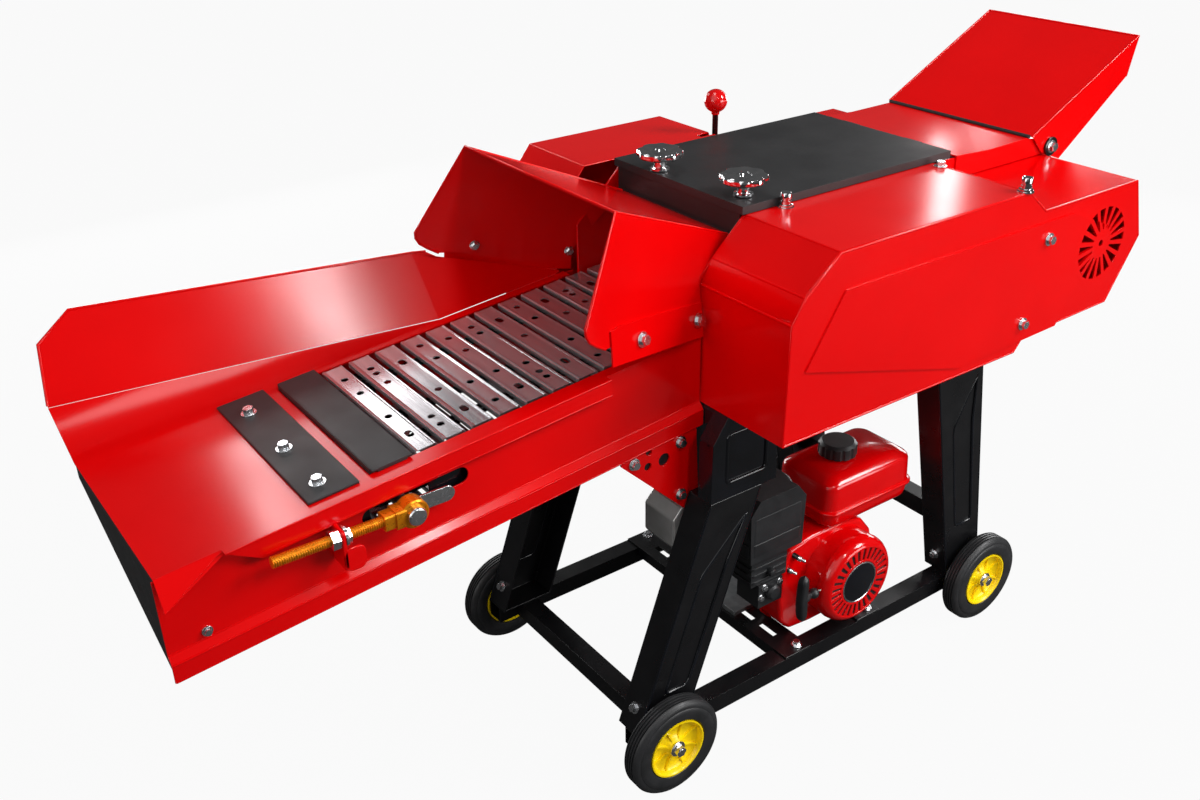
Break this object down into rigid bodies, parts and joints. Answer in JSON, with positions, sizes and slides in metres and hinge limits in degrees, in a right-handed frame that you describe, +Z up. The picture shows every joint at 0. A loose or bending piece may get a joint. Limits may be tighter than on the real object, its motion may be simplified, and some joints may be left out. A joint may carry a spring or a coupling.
{
  "type": "petrol chaff cutter",
  "caption": "Wheeled petrol chaff cutter: sloping slat-conveyor feed trough and hood, red cutter housing with a hinged lid and side covers, tilting discharge chute, engine below.",
  "frame": {"origin": "on the ground under the middle of the overall box", "axes": "+X along the crop's way from the feed trough to the chute, +Y to the belt side (the starter faces -Y), +Z up"},
  "size_m": [2.0888, 0.8144, 1.1977],
  "materials": {
    "red_powder_coat": "gloss powder coat",
    "black_satin_paint": "satin",
    "zinc_plated_steel": "bright zinc plate",
    "tyre_rubber": "matt moulded rubber",
    "hub_plastic": "moulded",
    "chrome_plate": "polished",
    "galvanised_slat": "rolled",
    "machined_steel": "turned",
    "yellow_zinc": "yellow zinc plate",
    "cast_iron": "as cast",
    "belt_rubber": "matt",
    "cast_aluminium": "die cast",
    "black_plastic": "moulded",
    "muffler_steel": "pressed",
    "red_ball_plastic": "moulded"
  },
  "bodies": {
    "chassis": {"right_rail": "black_satin_paint", "left_rail": "black_satin_paint", "cross_bars": "black_satin_paint", "engine_mounts": "black_satin_paint", "front_right_leg": "black_satin_paint", "front_left_leg": "black_satin_paint", "rear_right_leg": "black_satin_paint", "rear_left_leg": "black_satin_paint", "leg_blocks": "black_satin_paint", "gusset_plates": "red_powder_coat", "axles": "zinc_plated_steel", "housing_right_plate": "red_powder_coat", "housing_left_plate": "red_powder_coat", "housing_tray": "red_powder_coat", "right_cover": "red_powder_coat", "left_cover": "red_powder_coat", "discharge_base": "red_powder_coat", "feed_hood": "red_powder_coat", "trough_floor": "red_powder_coat", "trough_wing": "red_powder_coat", "trough_walls": "red_powder_coat", "trough_front_panel": "black_satin_paint", "trough_cover_plates": "black_satin_paint", "conveyor_belt": "galvanised_slat", "tensioner_brackets": "red_powder_coat", "bearings": "cast_iron", "drive_belt": "belt_rubber", "feed_chains": "machined_steel", "engine_block": "cast_aluminium", "recoil_housing": "red_powder_coat", "fuel_tank": "red_powder_coat", "air_cleaner": "black_plastic", "muffler": "muffler_steel", "fasteners": "zinc_plated_steel"},
    "front_right_wheel": {"front_right_tyre": "tyre_rubber", "front_right_hub": "hub_plastic"},
    "front_left_wheel": {"front_left_tyre": "tyre_rubber", "front_left_hub": "hub_plastic"},
    "rear_right_wheel": {"rear_right_tyre": "tyre_rubber", "rear_right_hub": "hub_plastic"},
    "rear_left_wheel": {"rear_left_tyre": "tyre_rubber", "rear_left_hub": "hub_plastic"},
    "lid": {"lid": "black_satin_paint"},
    "lid_knob_right": {"lid_knob_right": "chrome_plate"},
    "lid_knob_left": {"lid_knob_left": "chrome_plate"},
    "chute": {"chute": "red_powder_coat"},
    "drum": {"cutter_drum": "machined_steel", "cutter_blades": "machined_steel", "main_pulley": "cast_iron"},
    "crank": {"crankshaft": "machined_steel"},
    "countershaft": {"feed_countershaft": "machined_steel"},
    "lower_roller": {"lower_feed_roller": "machined_steel"},
    "carriage": {"roller_carriage": "black_satin_paint"},
    "upper_roller": {"upper_feed_roller": "machined_steel"},
    "conveyor_drive": {"conveyor_drive_shaft": "machined_steel"},
    "tensioner": {"tensioner_yokes": "yellow_zinc"},
    "tension_shaft": {"conveyor_tension_shaft": "machined_steel"},
    "starter_handle": {"recoil_handle": "black_plastic"},
    "fuel_cap": {"fuel_cap": "black_plastic"},
    "gear_lever": {"gear_lever": "red_ball_plastic"}
  },
  "joints": [
    {"name": "front_right_wheel_spin", "type": "hinge", "parent": "chassis", "child": "front_right_wheel", "pos_m": [-0.233, -0.287, 0.1], "axis": [0, 1, 0], "continuous": true},
    {"name": "front_left_wheel_spin", "type": "hinge", "parent": "chassis", "child": "front_left_wheel", "pos_m": [-0.233, 0.287, 0.1], "axis": [0, 1, 0], "continuous": true},
    {"name": "rear_right_wheel_spin", "type": "hinge", "parent": "chassis", "child": "rear_right_wheel", "pos_m": [0.632, -0.287, 0.1], "axis": [0, 1, 0], "continuous": true},
    {"name": "rear_left_wheel_spin", "type": "hinge", "parent": "chassis", "child": "rear_left_wheel", "pos_m": [0.632, 0.287, 0.1], "axis": [0, 1, 0], "continuous": true},
    {"name": "lid_swing", "type": "hinge", "parent": "chassis", "child": "lid", "pos_m": [0.51, 0, 1.047], "axis": [0, 1, 0], "range_deg": [0, 95]},
    {"name": "right_knob_turn", "type": "hinge", "parent": "lid", "child": "lid_knob_right", "pos_m": [0.031, -0.134, 1.057], "axis": [0, 0, 1], "range_deg": [0, 360]},
    {"name": "left_knob_turn", "type": "hinge", "parent": "lid", "child": "lid_knob_left", "pos_m": [0.01, 0.066, 1.057], "axis": [0, 0, 1], "range_deg": [0, 360]},
    {"name": "chute_tilt", "type": "hinge", "parent": "chassis", "child": "chute", "pos_m": [0.797, 0, 1.014], "axis": [0, -1, 0], "range_deg": [-40, 0]},
    {"name": "drum_spin", "type": "hinge", "parent": "chassis", "child": "drum", "pos_m": [0.697, 0, 0.894], "axis": [0, 1, 0], "continuous": true},
    {"name": "crank_spin", "type": "hinge", "parent": "chassis", "child": "crank", "pos_m": [0.264, 0, 0.234], "axis": [0, 1, 0], "continuous": true},
    {"name": "countershaft_spin", "type": "hinge", "parent": "chassis", "child": "countershaft", "pos_m": [0.62798, -0.27, 0.91777], "axis": [0, 1, 0], "continuous": true},
    {"name": "lower_roller_spin", "type": "hinge", "parent": "chassis", "child": "lower_roller", "pos_m": [0.47, 0, 0.868], "axis": [0, 1, 0], "continuous": true},
    {"name": "carriage_lift", "type": "slide", "parent": "chassis", "child": "carriage", "axis": [0, 0, 1], "range_m": [0, 0.02], "stiffness_N_per_m": 6000, "springref_m": -0.01},
    {"name": "upper_roller_spin", "type": "hinge", "parent": "carriage", "child": "upper_roller", "pos_m": [0.47, 0, 0.953], "axis": [0, 1, 0], "continuous": true},
    {"name": "conveyor_drive_spin", "type": "hinge", "parent": "chassis", "child": "conveyor_drive", "pos_m": [0.35183, 0, 0.84691], "axis": [0, 1, 0], "continuous": true},
    {"name": "tensioner_slide", "type": "slide", "parent": "chassis", "child": "tensioner", "axis": [1, 0, 0], "range_m": [0, 0.03]},
    {"name": "tension_shaft_spin", "type": "hinge", "parent": "tensioner", "child": "tension_shaft", "pos_m": [-0.67126, 0, 0.74659], "axis": [0, 1, 0], "continuous": true},
    {"name": "starter_pull", "type": "slide", "parent": "chassis", "child": "starter_handle", "axis": [-1, 0, 0], "range_m": [0, 0.15], "stiffness_N_per_m": 80, "springref_m": -0.05},
    {"name": "fuel_cap_turn", "type": "hinge", "parent": "chassis", "child": "fuel_cap", "pos_m": [0.306, -0.142, 0.468], "axis": [0, 0, 1], "range_deg": [0, 90]},
    {"name": "gear_lever_swing", "type": "hinge", "parent": "chassis", "child": "gear_lever", "pos_m": [0.276, 0.226, 0.912], "axis": [0, 1, 0], "range_deg": [-10, 10]}
  ],
  "couplings": [
    {"joint": "crank_spin", "follows": "drum_spin", "ratio": 1.5736},
    {"joint": "countershaft_spin", "follows": "drum_spin", "ratio": -0.75},
    {"joint": "lower_roller_spin", "follows": "drum_spin", "ratio": -0.4056},
    {"joint": "upper_roller_spin", "follows": "drum_spin", "ratio": 0.4056},
    {"joint": "conveyor_drive_spin", "follows": "drum_spin", "ratio": -0.5102},
    {"joint": "tension_shaft_spin", "follows": "drum_spin", "ratio": -0.5547}
  ]
}
